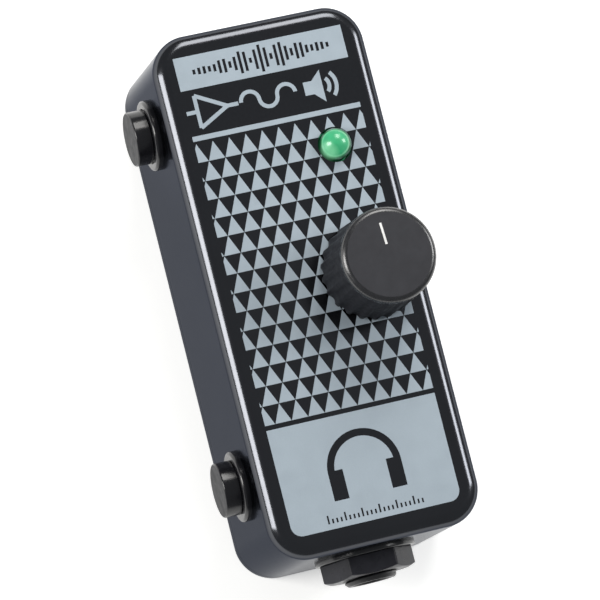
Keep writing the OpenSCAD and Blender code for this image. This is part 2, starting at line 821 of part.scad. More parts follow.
module battery_contacts() color("#d6d8da") {
    plate_w = 7;
    inside = holder_l / 2 - holder_end_t;
    for (s = [-1, 1])
        translate([s * cell_x - plate_w / 2, board_y + inside - contact_t, cell_z - plate_h / 2])
            cube([plate_w, contact_t, plate_h]);
    translate([-cell_x - plate_w / 2, board_y - inside, cell_z - plate_h / 2])
        cube([2 * cell_x + plate_w, contact_t, plate_h]);
}

// Flat springs that press on the negative ends
module battery_springs() color("#d6d8da") {
    spring_r = 2.6;
    coil_step = 0.5;
    spring_clear = 0.01;
    wire_r = spring_gap / 4 - spring_clear;
    inside = holder_l / 2 - holder_end_t - contact_t;
    for (s = [-1, 1], k = [0:1])
        translate([s * cell_x, board_y + s * (inside - wire_r * (1 + 2 * k) - spring_clear), cell_z])
            rotate([90, 0, 0]) rotate_extrude()
                translate([spring_r - coil_step * k, 0]) circle(r = wire_r, $fn = 16);
}

module foam_tape() color("#55565a") {
    translate([-11, board_y - 20, cover_t]) cube([22, 40, tape_t]);
}

// ---- Wires, by routes chosen by hand ----

lead_y = board_y + holder_l / 2 - 1.3;
plate_top = cell_z + plate_h / 2;
from_above = board_top + 0.12;
from_below = board_bottom - 0.12;

module battery_lead_red() color("#b3262a") {
    x = -8.6;
    wire([[x + 0.4, lead_y, plate_top + 0.2], [x, lead_y - 0.2, plate_top + 3], [x, 22, 17.6],
          [x, 18.6, 18.6], [x, 18, from_below]]);
}

module battery_lead_black() color("#202124") {
    x = 8.6;
    wire([[x - 0.4, lead_y + 0.1, plate_top + 0.2], [x, lead_y - 0.1, plate_top + 3], [x, 22, 17.4],
          [x, 18.6, 18.6], [x, 18, from_below]]);
}

module input_leads() color("#c9c9c4") {
    wire([[7.4, -42.3, 15.2], [9.8, -41.8, 16.5], [11.5, -38, 19.5], [11.5, -30, 23],
          [11.5, -21.5, 25], [11.5, -19, 24.2], [11.5, -19, from_above]]);
    wire([[-7.4, -42.3, 15.2], [-9.6, -41.8, 17], [-9.6, -38, 21], [-8.8, -35.5, 24], [-8.5, -30, 25.2],
          [-8.3, -22, 25.2], [-8.3, -19, 24.2], [-8.3, -19, from_above]]);
    wire([[0, -39.9, 22.4], [0.6, -38.5, 23.6], [1.5, -34, 25], [2, -27, 25.2], [2, -21.5, 25],
          [2, -19, 24.2], [2, -19, from_above]]);
}

module phones_leads() color("#b8b4c9") {
    r = 0.5;
    wire([[-10.2, 32.8, 25.2], [-10, 30.5, 26.6], [-8.5, 27, 26.8], [-7, 24.8, 25.6],
          [-7, 23.5, 24.2], [-7, 23.5, from_above]], r);
    wire([[-10.2, 32, 10.8], [-12.5, 29.8, 10.2], [-14.6, 27.2, 10.4], [-15, 25, 12.6], [-15, 23.6, 16],
          [-15, 21.2, 18.8], [-15, 20.6, from_below]], r);
    wire([[-12.2, 25.5, 17.9], [-11.6, 24.4, 18.3], [-11.5, 22.6, 18.4], [-11.5, 21.5, 19.2],
          [-11.5, 21.4, from_below]], r);
}

module mini_leads() color("#a9b8a4") {
    r = 0.45;
    wire([[-11.1, -31, 22.5], [-11.8, -29, 23.4], [-12.4, -24.5, 24.8], [-12.2, -20.6, 25],
          [-12.2, -18.4, 24.2], [-12.2, -18.4, from_above]], r);
    wire([[-11.1, -26.4, 17.9], [-10.9, -25, 19.5], [-10.4, -22.5, 22.6], [-10.4, -20.2, 24.4],
          [-10.4, -18.4, 24.1], [-10.4, -18.4, from_above]], r);
    wire([[-11.1, -31, 13.3], [-12.6, -29, 12.6], [-14, -25.8, 13.5], [-14.2, -24.4, 17], [-14, -22.6, 22],
          [-14, -20.2, 24.8], [-14, -18.4, 24.2], [-14, -18.4, from_above]], r);
}

enclosure_shell();
back_cover();
cover_screws();
face_print();
knob_body();
knob_pointer();
knob_clip();
pot_housing();
pot_shaft();
pot_wiper();
pot_washer();
pot_nut();
pot_terminals();
lamp_lens();
lamp_leads();
lamp_spacer();
input_jack_body();
input_jack_washer();
input_jack_nut();
input_tip_contact();
input_ring_contact();
input_sleeve_contact();
phones_jack_body();
phones_jack_nut();
phones_jack_cap();
phones_tip_contact();
phones_ring_contact();
phones_sleeve_contact();
mini_jack_body();
mini_jack_nut();
mini_jack_cap();
mini_jack_contacts();
circuit_board();
amplifier_chip();
electrolytic_capacitors();
film_capacitors();
resistors();
battery_holder();
battery_cell_left();
battery_cell_right();
battery_contacts();
battery_springs();
foam_tape();
battery_lead_red();
battery_lead_black();
input_leads();
phones_leads();
mini_leads();
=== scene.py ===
import json
import math

import bpy
from mathutils import Matrix, Vector


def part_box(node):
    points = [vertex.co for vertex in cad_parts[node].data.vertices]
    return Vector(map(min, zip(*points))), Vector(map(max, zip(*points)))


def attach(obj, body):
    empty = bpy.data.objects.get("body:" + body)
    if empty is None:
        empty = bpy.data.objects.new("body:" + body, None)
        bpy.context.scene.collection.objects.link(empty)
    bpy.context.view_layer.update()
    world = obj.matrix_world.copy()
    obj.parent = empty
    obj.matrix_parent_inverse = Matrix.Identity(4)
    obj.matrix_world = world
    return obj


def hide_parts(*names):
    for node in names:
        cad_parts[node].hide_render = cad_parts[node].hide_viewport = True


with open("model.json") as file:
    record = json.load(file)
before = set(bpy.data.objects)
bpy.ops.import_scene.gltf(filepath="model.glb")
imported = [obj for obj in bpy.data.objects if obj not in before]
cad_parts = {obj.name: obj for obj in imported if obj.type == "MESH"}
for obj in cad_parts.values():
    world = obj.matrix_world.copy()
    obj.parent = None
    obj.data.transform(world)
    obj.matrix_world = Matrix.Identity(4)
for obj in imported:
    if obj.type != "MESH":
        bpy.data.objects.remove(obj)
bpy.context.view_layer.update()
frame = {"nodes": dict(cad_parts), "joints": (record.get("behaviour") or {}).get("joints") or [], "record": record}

scene = bpy.context.scene
scene.view_settings.view_transform = "Standard"

MM = 0.001
TURN = 2 * math.pi

# ---- Camera: a long lens, from the left and above ----

LENS = 271
SENSOR = 36
AZIMUTH = math.radians(-63.61)
ELEVATION = math.radians(74.47)
ROLL = math.radians(50.2)
DISTANCE = 797.8 * MM
AIM = Vector((-0.14, -1.07, 15.5)) * MM


def make_camera():
    camera = bpy.data.objects.new("camera", bpy.data.cameras.new("camera"))
    camera.data.lens = LENS
    camera.data.sensor_width = SENSOR
    camera.data.clip_end = 20
    back = Vector((math.sin(AZIMUTH) * math.cos(ELEVATION),
                   -math.cos(AZIMUTH) * math.cos(ELEVATION), math.sin(ELEVATION)))
    turn = (-back).to_track_quat("-Z", "Y").to_matrix() @ Matrix.Rotation(ROLL, 3, "Z")
    camera.matrix_world = Matrix.Translation(AIM + back * DISTANCE) @ turn.to_4x4()
    scene.collection.objects.link(camera)
    scene.camera = camera


make_camera()


# ---- Materials ----

class Surface:
    """A material's node tree, with short calls for the nodes that every finish here uses."""

    def __init__(self, name, **sockets):
        self.material = bpy.data.materials.new(name)
        self.material.use_nodes = True
        self.nodes = self.material.node_tree.nodes
        self.links = self.material.node_tree.links
        self.shader = self.nodes["Principled BSDF"]
        self.place = self.add("ShaderNodeTexCoord").outputs["Object"]
        for socket, value in sockets.items():
            self.shader.inputs[socket.replace("_", " ")].default_value = value

    def add(self, kind, **inputs):
        node = self.nodes.new(kind)
        for socket, value in inputs.items():
            node.inputs[socket.replace("_", " ")].default_value = value
        return node

    def join(self, source, target):
        self.links.new(source, target)

    def noise(self, size_mm, stretch=(1, 1, 1), detail=4, rough=0.5):
        """Noise with features of about size_mm, longer along the axes with a small stretch value."""
        mapping = self.add("ShaderNodeMapping")
        mapping.inputs["Scale"].default_value = stretch
        texture = self.add("ShaderNodeTexNoise", Scale=1 / (size_mm * MM), Detail=detail, Roughness=rough)
        self.join(self.place, mapping.inputs["Vector"])
        self.join(mapping.outputs["Vector"], texture.inputs["Vector"])
        return texture.outputs["Fac"]

    def ramp(self, factor, *stops, constant=False):
        """Colour ramp through (position, colour) stops."""
        node = self.add("ShaderNodeValToRGB")
        node.color_ramp.interpolation = "CONSTANT" if constant else "LINEAR"
        elements = node.color_ramp.elements
        while len(elements) < len(stops):
            elements.new(1)
        for element, (position, colour) in zip(elements, stops):
            element.position = position
            element.color = (*colour, 1)
        self.join(factor, node.inputs["Fac"])
        return node.outputs["Color"]

    def spread(self, factor, low, high, start=0.3, end=0.7):
        """The factor's middle range stretched to low..high."""
        node = self.add("ShaderNodeMapRange")
        values = {"From Min": start, "From Max": end, "To Min": low, "To Max": high}
        for socket, value in values.items():
            node.inputs[socket].default_value = value
        self.join(factor, node.inputs["Value"])
        return node.outputs["Result"]

    def colour(self, output):
        self.join(output, self.shader.inputs["Base Color"])

    def roughness(self, output):
        self.join(output, self.shader.inputs["Roughness"])

    def bump(self, height, depth_mm, strength=1.0):
        node = self.add("ShaderNodeBump", Distance=depth_mm * MM, Strength=strength)
        self.join(height, node.inputs["Height"])
        self.join(node.outputs["Normal"], self.shader.inputs["Normal"])


def shades(colour, spread):
    """Two colours, a little darker and a little lighter."""
    return [tuple(min(1, c * (1 + s * spread)) for c in colour) for s in (-1, 1)]


def gloss_paint():
    """Thick black enamel with a metallic gloss: faint orange peel and a little dust."""
    s = Surface("gloss_black_paint", Metallic=1.0)
    s.shader.inputs["Specular Tint"].default_value = (0.37, 0.38, 0.41, 1)
    low, high = shades((0.076, 0.079, 0.087), 0.03)
    s.colour(s.ramp(s.noise(9, detail=5), (0.3, low), (0.7, high)))
    s.roughness(s.spread(s.noise(0.5, detail=6), 0.15, 0.2))
    s.bump(s.noise(1.6, detail=2), 0.0008)
    return s.material


def silver_ink():
    """Screen-printed silver: fine pigment grain over a slow change of tone."""
    s = Surface("silver_ink", Metallic=0.25)
    grain = s.noise(0.12, detail=3, rough=0.7)
    low, high = shades((0.40, 0.47, 0.525), 0.07)
    s.colour(s.ramp(grain, (0.25, low), (0.75, high)))
    s.roughness(s.spread(s.noise(3), 0.38, 0.5))
    s.bump(grain, 0.002)
    return s.material


def plastic(name, colour, rough, grain_mm=0.25, depth_mm=0.004, spread=0.1, **sockets):
    """Moulded plastic: fine grain, and roughness that changes slowly."""
    s = Surface(name, **sockets)
    low, high = shades(colour, spread)
    s.colour(s.ramp(s.noise(2.5, detail=6), (0.3, low), (0.7, high)))
    s.roughness(s.spread(s.noise(1.2, detail=5), rough * 0.85, rough * 1.15))
    s.bump(s.noise(grain_mm, detail=2), depth_mm)
    return s.material


def metal(name, colour, rough, stretch=(1, 1, 1), spread=0.08):
    """Bare metal with fine drawn lines along the axes with a small stretch value."""
    s = Surface(name, Metallic=1.0)
    lines = s.noise(0.12, stretch, detail=5, rough=0.65)
    low, high = shades(colour, spread)
    s.colour(s.ramp(s.noise(1.5, detail=5), (0.3, low), (0.7, high)))
    s.roughness(s.spread(lines, rough * 0.75, rough * 1.3))
    s.bump(lines, 0.003)
    return s.material


# axes of the lens's painted shade and light: the slope axis for the dark foot and pale ring, and the side that is
# painted paler
LENS_PAINTED_SHADE_AXIS = (-0.25, -0.05, 0.967)
LENS_PAINTED_LIGHT_SIDE = (-0.72, -0.52, 0.46)


def lens_with_painted_light():
    """Tinted epoxy, coloured by the dome's slope about a tilted axis: painted shade makes it dark at its foot,
    a painted light ring is pale above that, mid green on top is its own tint, and painted light makes it paler on
    one side."""
    s = Surface("green_lens", Coat_Weight=1.0, Coat_Roughness=0.17, Roughness=0.4,
                Emission_Strength=0.44)
    normal = s.add("ShaderNodeTexCoord").outputs["Normal"]

    def along(direction):
        node = s.add("ShaderNodeVectorMath")
        node.operation = "DOT_PRODUCT"
        node.inputs[1].default_value = direction
        s.join(normal, node.inputs[0])
        return node.outputs["Value"]

    # painted shade and painted light: dark at the dome's foot, a pale ring above it, the lens's own mid green on
    # top
    painted_foot_shade_and_ring = s.ramp(along(LENS_PAINTED_SHADE_AXIS), (0.0, (0.004, 0.05, 0.018)), (0.43, (0.010, 0.10, 0.036)),
                   (0.51, (0.05, 0.30, 0.12)), (0.57, (0.13, 0.47, 0.25)), (0.66, (0.034, 0.34, 0.15)),
                   (1.0, (0.026, 0.31, 0.13)))
    # painted light: paler towards one side
    painted_light_side = s.spread(along(LENS_PAINTED_LIGHT_SIDE), 0, 0.5, 0.70, 0.95)
    mix = s.add("ShaderNodeMix")
    mix.data_type = "RGBA"
    first, second = [socket for socket in mix.inputs if socket.type == "RGBA"]
    # colour of the painted lit side
    second.default_value = (0.24, 0.66, 0.37, 1)
    s.join(painted_light_side, mix.inputs["Factor"])
    s.join(painted_foot_shade_and_ring, first)
    mixed = next(socket for socket in mix.outputs if socket.type == "RGBA")
    cloudy = s.add("ShaderNodeHueSaturation")
    s.join(s.spread(s.noise(1.6, detail=2), 0.9, 1.1), cloudy.inputs["Value"])
    s.join(mixed, cloudy.inputs["Color"])
    s.colour(cloudy.outputs["Color"])
    # the glow takes the same colour, with the painted shade and light in it
    s.join(cloudy.outputs["Color"], s.shader.inputs["Emission Color"])
    return s.material


def board_lacquer():
    """Green solder resist with paler copper tracks under it."""
    s = Surface("board_lacquer", Roughness=0.3, Coat_Weight=0.5)
    tracks = s.add("ShaderNodeTexBrick", Scale=180.0, Mortar_Size=0.09)
    tracks.offset_frequency = 3
    tracks.inputs["Color1"].default_value = (0.012, 0.095, 0.045, 1)
    tracks.inputs["Color2"].default_value = (0.010, 0.080, 0.040, 1)
    tracks.inputs["Mortar"].default_value = (0.045, 0.190, 0.075, 1)
    s.join(s.place, tracks.inputs["Vector"])
    s.colour(tracks.outputs["Color"])
    s.bump(tracks.outputs["Fac"], 0.02)
    return s.material


SLEEVE_FROM = -0.019
SLEEVE_TO = 0.025


def cell_sleeve():
    """Printed sleeve of a dry cell: copper at one end, dark over the rest."""
    s = Surface("cell_sleeve", Metallic=0.35)
    parts = s.add("ShaderNodeSeparateXYZ")
    s.join(s.place, parts.inputs["Vector"])
    along = s.spread(parts.outputs["Y"], 0, 1, start=SLEEVE_FROM, end=SLEEVE_TO)
    s.colour(s.ramp(along, (0.0, (0.03, 0.03, 0.035)), (0.7, (0.42, 0.18, 0.06)), constant=True))
    s.roughness(s.spread(s.noise(1), 0.25, 0.35))
    return s.material


def foam():
    s = Surface("grey_foam", Roughness=0.95)
    cells = s.add("ShaderNodeTexVoronoi", Scale=2500.0)
    s.join(s.place, cells.inputs["Vector"])
    # painted shade: darker at the cell centres, where the bump makes pits
    s.colour(s.ramp(cells.outputs["Distance"], (0.0, (0.03, 0.03, 0.03)), (0.6, (0.12, 0.12, 0.125))))
    s.bump(cells.outputs["Distance"], 0.1)
    return s.material


ALONG_X = (0.05, 1, 1)
ALONG_Y = (1, 0.05, 1)
ALONG_Z = (1, 1, 0.05)

paint = gloss_paint()
ink = silver_ink()
knob_side = plastic("knob_side", (0.013, 0.0133, 0.0165), 0.5, depth_mm=0.0006, Specular_IOR_Level=0.15)
knob_rim = plastic("knob_rim", (0.010, 0.0102, 0.012), 0.27, depth_mm=0.0001, Specular_IOR_Level=0.9)
knob_face = plastic("knob_face", (0.033, 0.0335, 0.0385), 0.6, grain_mm=0.1, depth_mm=0.004,
                    Specular_IOR_Level=0.3)
pointer_white = plastic("pointer_white", (0.86, 0.86, 0.84), 0.4)
nut_black = plastic("nut_black", (0.026, 0.0265, 0.032), 0.3, depth_mm=0.001, spread=0.15,
                    Specular_IOR_Level=0.12)
side_black = plastic("side_black", (0.007, 0.0072, 0.009), 0.2, depth_mm=0.0006, spread=0.15,
                     Specular_IOR_Level=0.6)
cap_side = plastic("cap_side", (0.008, 0.008, 0.010), 0.2, depth_mm=0.0006)
cap_face = plastic("cap_face", (0.017, 0.0175, 0.020), 0.55, grain_mm=0.12, Specular_IOR_Level=0.25)
nylon = plastic("black_nylon", (0.012, 0.012, 0.013), 0.38)
steel = metal("satin_steel", (0.56, 0.57, 0.59), 0.3, ALONG_X)
pot_metal = metal("pot_metal", (0.50, 0.52, 0.55), 0.34, ALONG_Z)
brass = metal("contact_brass", (0.66, 0.48, 0.20), 0.28, ALONG_Y)
tinned = metal("tinned_copper", (0.70, 0.71, 0.72), 0.25, ALONG_Z)
black_steel = metal("black_steel", (0.06, 0.06, 0.065), 0.35)
lens = lens_with_painted_light()

FINISHES = {
    "case_black": paint,
    "screw_black": black_steel,
    "print_silver": ink,
    "knob_black": knob_side,
    "pointer_white": pointer_white,
    "spring_steel": steel,
    "pot_can": pot_metal,
    "contact_brass": brass,
    "tinned_lead": tinned,
    "lamp_green": lens,
    "black_nylon": nylon,
    "black_nut": nut_black,
    "cap_grey": cap_side,
    "board_green": board_lacquer(),
    "can_blue": plastic("capacitor_sleeve", (0.02, 0.028, 0.075), 0.22),
    "film_orange": plastic("dipped_film", (0.36, 0.10, 0.025), 0.2),
    "resistor_tan": plastic("resistor_lacquer", (0.42, 0.29, 0.15), 0.4, spread=0.25),
    "cell_copper": cell_sleeve(),
    "foam_grey": foam(),
    "wire_red": plastic("wire_red", (0.42, 0.012, 0.015), 0.35),
    "wire_black": plastic("wire_black", (0.015, 0.015, 0.016), 0.35),
    "wire_pale": plastic("wire_pale", (0.48, 0.48, 0.44), 0.4),
}


# ---- Mesh helpers ----

def smooth(mesh, sharp_degrees=35):
    mesh.polygons.foreach_set("use_smooth", [True] * len(mesh.polygons))
    mesh.set_sharp_from_angle(angle=math.radians(sharp_degrees))


def mesh_object(name, points, faces):
    """Closed mesh from points in millimetres."""
    mesh = bpy.data.meshes.new(name)
    mesh.from_pydata([Vector(p) * MM for p in points], [], faces)
    piece = bpy.data.objects.new(name, mesh)
    scene.collection.objects.link(piece)
    return piece


def stack(name, rings, loop=False):
    """Mesh through rings of points. A ring of one point is a tip; otherwise both ends are closed,
    or with loop the last ring joins the first."""
    points, starts = [], []
    for ring in rings:
        starts.append(len(points))
        points += ring
    faces = []
    pairs = list(zip(range(len(rings) - 1), range(1, len(rings))))
    if loop:
        pairs.append((len(rings) - 1, 0))
    for i, j in pairs:
        n, m = len(rings[i]), len(rings[j])
        for k in range(max(n, m)):
            a, b = starts[i] + k % n, starts[i] + (k + 1) % n
            d, c = starts[j] + k % m, starts[j] + (k + 1) % m
            faces.append([v for v, w in zip((a, b, c, d), (b, c, d, a)) if v != w])
    if not loop:
        for i, flip in ((0, True), (len(rings) - 1, False)):
            if len(rings[i]) > 1:
                end = list(range(starts[i], starts[i] + len(rings[i])))
                faces.append(end[::-1] if flip else end)
    return mesh_object(name, points, faces)


def circle(radius, height, segments, place):
    """Ring of points; radius is a number or a function of the angle."""
    if not callable(radius) and radius == 0:
        return [place @ Vector((0, 0, height))]
    ring = []
    for k in range(segments):
        a = TURN * k / segments
        r = radius(a) if callable(radius) else radius
        ring.append(place @ Vector((r * math.cos(a), r * math.sin(a), height)))
    return ring


def turned(name, profile, place, segments=128, loop=False):
    """Body of revolution from (radius, height) points, in millimetres."""
    return stack(name, [circle(r, z, segments, place) for r, z in profile], loop)


def arc(centre, radius, start, end, steps=6):
    """Points of an arc in the (radius, height) plane, angles in degrees from the outward axis."""
    angles = [math.radians(start + (end - start) * k / steps) for k in range(steps + 1)]
    return [(centre[0] + radius * math.cos(a), centre[1] + radius * math.sin(a)) for a in angles]


def quarter(steps):
    """Angles of a quarter turn, in equal steps."""
    return [TURN / 4 * k / steps for k in range(steps + 1)]


def rounded_outline(half_w, half_l, radius, z, steps=24):
    """Rectangle with round corners, as a ring of points."""
    ring = []
    for q, (sx, sy) in enumerate(((1, 1), (-1, 1), (-1, -1), (1, -1))):
        for k in range(steps + 1):
            a = math.radians(90 * (q + k / steps))
            ring.append(Vector((sx * (half_w - radius) + radius * math.cos(a),
                                sy * (half_l - radius) + radius * math.sin(a), z)))
    return ring


def combine(piece, operation, *tools):
    """Boolean of piece with each tool; the tools are used up."""
    for tool in tools:
        cut = piece.modifiers.new("cut", "BOOLEAN")
        cut.operation = operation
        cut.solver = "EXACT"
        cut.object = tool
        mesh = bpy.data.meshes.new_from_object(piece.evaluated_get(bpy.context.evaluated_depsgraph_get()))
        piece.modifiers.clear()
        piece.data = mesh
        bpy.data.objects.remove(tool)
    return piece


def shade(piece, sharp_degrees=35):
    """Smooth shading that leaves large flat faces flat."""
    smooth(piece.data, sharp_degrees)
    weighted = piece.modifiers.new("weighted_normals", "WEIGHTED_NORMAL")
    weighted.keep_sharp = True
    return piece


def settle(piece, body, slot, *replaced, materials=None):
    """Puts a made piece on its body, in place of CAD nodes."""
    for material in materials or [FINISHES[slot]]:
        piece.data.materials.append(material)
    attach(piece, body)
    if replaced:
        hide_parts(*replaced)
    return piece


END_SLACK = 0.02


def paint_end(piece, axis, reach, index=1):
    """Gives one of the piece's materials to the faces that lie beyond reach along an axis."""
    for polygon in piece.data.polygons:
        if polygon.center.dot(axis) > (reach - END_SLACK) * MM:
            polygon.material_index = index


def rod(radius, low, high, place, segments=96):
    return turned("tool", [(0, low), (radius, low), (radius, high), (0, high)], place, segments)


def block(low, high, place=Matrix.Identity(4)):
    """Box between two corners, in millimetres."""
    x0, y0, z0 = low
    x1, y1, z1 = high
    rings = [[place @ Vector(p) for p in ((x0, y0, z), (x1, y0, z), (x1, y1, z), (x0, y1, z))]
             for z in (z0, z1)]
    return stack("tool", rings)


def box_mm(node):
    low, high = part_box(node)
    return low / MM, high / MM


def middle(node):
    low, high = box_mm(node)
    return (low + high) / 2


# ---- Places, from the frame ----

shell_low, shell_high = box_mm("enclosure_shell")
cover_top = box_mm("back_cover")[1].z
wall_x, wall_y = shell_high.x, shell_high.y
seam_z = shell_low.z
case_top = shell_high.z
joint_at = {j["name"]: Vector(j.get("pos_m") or (0, 0, 0)) / MM for j in frame["joints"]}
knob_axis = joint_at["volume_turn"]
lamp_axis = middle("lamp_lens")
input_axis = middle("input_jack_washer")
at_knob = Matrix.Translation((knob_axis.x, knob_axis.y, 0))
at_lamp = Matrix.Translation((lamp_axis.x, lamp_axis.y, 0))


def out_of_wall(origin, axis):
    """Frame whose +Z leaves the case along axis from origin."""
    return Matrix.Translation(origin) @ Vector(axis).to_track_quat("Z", "Y").to_matrix().to_4x4()


def side_place(node):
    at = middle(node)
    return out_of_wall((-wall_x, at.y, at.z), (-1, 0, 0))


at_phones = side_place("phones_jack_nut")
at_mini = side_place("mini_jack_nut")
at_input = out_of_wall((input_axis.x, -wall_y, input_axis.z), (0, -1, 0))

# ---- Case ----

CORNER_R = 6.8
EDGE_R = 2.5
BACK_EDGE_R = 0.6
WALL = 2.0
FACE = 2.2
BOSS_R = 3.6
SCREW_HOLE_R = 1.5
SCREW_DEPTH = 11.5
SCREW_INSET = 4.25
LAMP_HOLE_R = 3.1
BUSHING_HOLE_R = 3.6
NOSE_HOLE_R = 4.9
MINI_HOLE_R = 3.55
SEAM_R = 0.12

screw_spots = [Vector((sx * (wall_x - SCREW_INSET), sy * (wall_y - SCREW_INSET), 0))
               for sx in (-1, 1) for sy in (-1, 1)]


def inset_outline(inset, z):
    return rounded_outline(wall_x - inset, wall_y - inset, CORNER_R - inset, z)


def make_shell():
    seam = [inset_outline(SEAM_R * (1 - math.sin(a)), seam_z + SEAM_R * (1 - math.cos(a)))
            for a in quarter(4)]
    edge = [inset_outline(EDGE_R * (1 - math.cos(a)), case_top - EDGE_R * (1 - math.sin(a)))
            for a in quarter(12)]
    shell = stack("case_shell", seam + edge)
    cavity = stack("tool", [inset_outline(WALL, z) for z in (seam_z - 1, case_top - FACE)])
    bosses = [rod(BOSS_R, seam_z - 2, case_top, Matrix.Translation(p)) for p in screw_spots]
    combine(cavity, "DIFFERENCE", *bosses)
    holes = [rod(SCREW_HOLE_R, seam_z - 1, SCREW_DEPTH, Matrix.Translation(p), 48) for p in screw_spots]
    holes += [rod(BUSHING_HOLE_R, case_top - 5, case_top + 1, at_knob),
              rod(LAMP_HOLE_R, case_top - 5, case_top + 1, at_lamp),
              rod(NOSE_HOLE_R, -5, 1, at_input), rod(NOSE_HOLE_R, -5, 1, at_phones),
              rod(MINI_HOLE_R, -5, 1, at_mini)]
    combine(shell, "DIFFERENCE", cavity, *holes)
    settle(shade(shell), "case", "case_black", "enclosure_shell")


LIP_GAP = 0.3
LIP_T = 1.5
SEAT_R = 2.95
CLEAR_R = 1.7
SEAT_DEPTH = 0.15
HEAD_H = 1.5


def make_cover():
    edge = [inset_outline(BACK_EDGE_R * (1 - math.sin(a)), BACK_EDGE_R * (1 - math.cos(a)))
            for a in quarter(5)]
    seam = [inset_outline(SEAM_R * (1 - math.cos(a)), seam_z - SEAM_R * (1 - math.sin(a)))
            for a in quarter(3)]
    cover = stack("case_cover", edge + seam)
    lip = stack("tool", [inset_outline(WALL + LIP_GAP, z) for z in (seam_z - 1, cover_top)])
    well = stack("tool", [inset_outline(WALL + LIP_GAP + LIP_T, z) for z in (seam_z, cover_top + 1)])
    reliefs = [rod(BOSS_R + 0.4, seam_z, cover_top + 1, Matrix.Translation(p)) for p in screw_spots]
    combine(lip, "DIFFERENCE", well, *reliefs)
    combine(cover, "UNION", lip)
    seat = [(0, -1), (SEAT_R, -1), (SEAT_R, SEAT_DEPTH), (CLEAR_R, SEAT_DEPTH + HEAD_H),
            (CLEAR_R, cover_top + 1), (0, cover_top + 1)]
    combine(cover, "DIFFERENCE", *[turned("tool", seat, Matrix.Translation(p), 64) for p in screw_spots])
    settle(shade(cover), "case", "case_black", "back_cover")


make_shell()
make_cover()

# ---- Knob ----

FOOT_R = 8.8
RIM_R = 8.4
TOP_EDGE_R = 1.15
FLUTES = 22
FLUTE_R = 1.0
FLUTE_SOFT = 0.3
RECESS_R = 6.4
BORE_R = 3.02
FLAT_AT = 1.5
POINTER_W = 0.4
POINTER_IN = 1.8
POINTER_OUT = 5.6
POINTER_DEPTH = 0.3
RECESS_H = 3.6
FLAT_H = 5.3
BORE_ABOVE = 0.3
REST_DEGREES = 3

knob_low, knob_high = box_mm("knob_body")
knob_foot, knob_top = knob_low.z, knob_high.z
recess_top = case_top + RECESS_H
bore_top = box_mm("pot_shaft")[1].z + BORE_ABOVE
flat_z = case_top + FLAT_H
rest_turn = math.radians(REST_DEGREES)


def soft_min(a, b, soft):
    """Smaller of two values, with the corner between them rounded."""
    h = max(soft - abs(a - b), 0) / soft
    return min(a, b) - h * h * soft / 4


def fluted(radius):
    """Radius as a function of angle, for a round body of that radius cut by the flutes."""
    centre = FOOT_R + FLUTE_R / 2

    def at(a):
        pitch = TURN / FLUTES
        off = centre * math.sin((a % pitch) - pitch / 2)
        if abs(off) >= FLUTE_R:
            return radius
        near = math.sqrt(centre ** 2 - off ** 2) - math.sqrt(FLUTE_R ** 2 - off ** 2)
        return soft_min(radius, near, FLUTE_SOFT)
    return at


def d_bore(a):
    """Round bore with one flat, which turns with the pointer."""
    towards_flat = -math.sin(a - rest_turn)
    return min(BORE_R, FLAT_AT / towards_flat) if towards_flat > 0.1 else BORE_R


def make_knob():
    rim_z = knob_top - TOP_EDGE_R
    flute_end = rim_z - 0.6
    segments = FLUTES * 24
    rings = [(BORE_R, recess_top), (RECESS_R, recess_top), (RECESS_R, knob_foot)]
    steps = 24
    foot_soft = 0.15
    rings.append((fluted(FOOT_R - foot_soft), knob_foot))
    for k in range(steps + 1):
        t = k / steps
        z = knob_foot + foot_soft + (flute_end - knob_foot - foot_soft) * t
        rings.append((fluted(FOOT_R + (RIM_R - FOOT_R) * t), z))
    rings += arc((RIM_R - TOP_EDGE_R, rim_z), TOP_EDGE_R, 0, 90, 12)
    rings.append((0, knob_top))
    inner = [(0, bore_top), (d_bore, bore_top), (d_bore, flat_z), (BORE_R, flat_z - 0.02)]
    knob = stack("volume_knob", [circle(r, z, segments, at_knob) for r, z in inner + rings])
    pointer = at_knob @ Matrix.Rotation(rest_turn, 4, "Z")
    combine(knob, "DIFFERENCE", block((-POINTER_W / 2, POINTER_IN, knob_top - POINTER_DEPTH),
                                      (POINTER_W / 2, POINTER_OUT, knob_top + 1), pointer))
    smooth(knob.data, 50)
    settle(knob, "volume_control", "knob_black", "knob_body", materials=[knob_side, knob_face, knob_rim])
    paint_end(knob, Vector((0, 0, 1)), rim_z - 0.5, 2)
    paint_end(knob, Vector((0, 0, 1)), knob_top)


make_knob()

# ---- Lamp ----


def make_lamp():
    low, high = box_mm("lamp_lens")
    dome_r = 2.8
    flange_r = dome_r + 0.25
    dome_z = high.z - dome_r
    profile = [(0, low.z), (flange_r - 0.1, low.z), (flange_r, low.z + 0.1), (flange_r, low.z + 0.9),
               (flange_r - 0.1, low.z + 1), (dome_r, low.z + 1)]
    profile += arc((0, dome_z), dome_r, 0, 90, 24)[:-1] + [(0, high.z)]
    settle(shade(turned("lamp_dome", profile, at_lamp)), "case", "lamp_green", "lamp_lens")


make_lamp()

# ---- Side jacks: round nuts and push-in caps ----


def make_side_nut(name, node, place, hole_r):
    low, high = box_mm(node)
    outer_r = (high.z - low.z) / 2
    thick = high.x - low.x
    soft = 0.5
    profile = [(hole_r, 0), (outer_r, 0)]
    profile += arc((outer_r - soft, thick - soft), soft, 0, 90, 8)
    profile += [(hole_r + 0.1, thick), (hole_r, thick - 0.1)]
    nut = shade(turned(name, profile, place, loop=True))
    settle(nut, "case", "black_nut", node, materials=[side_black])


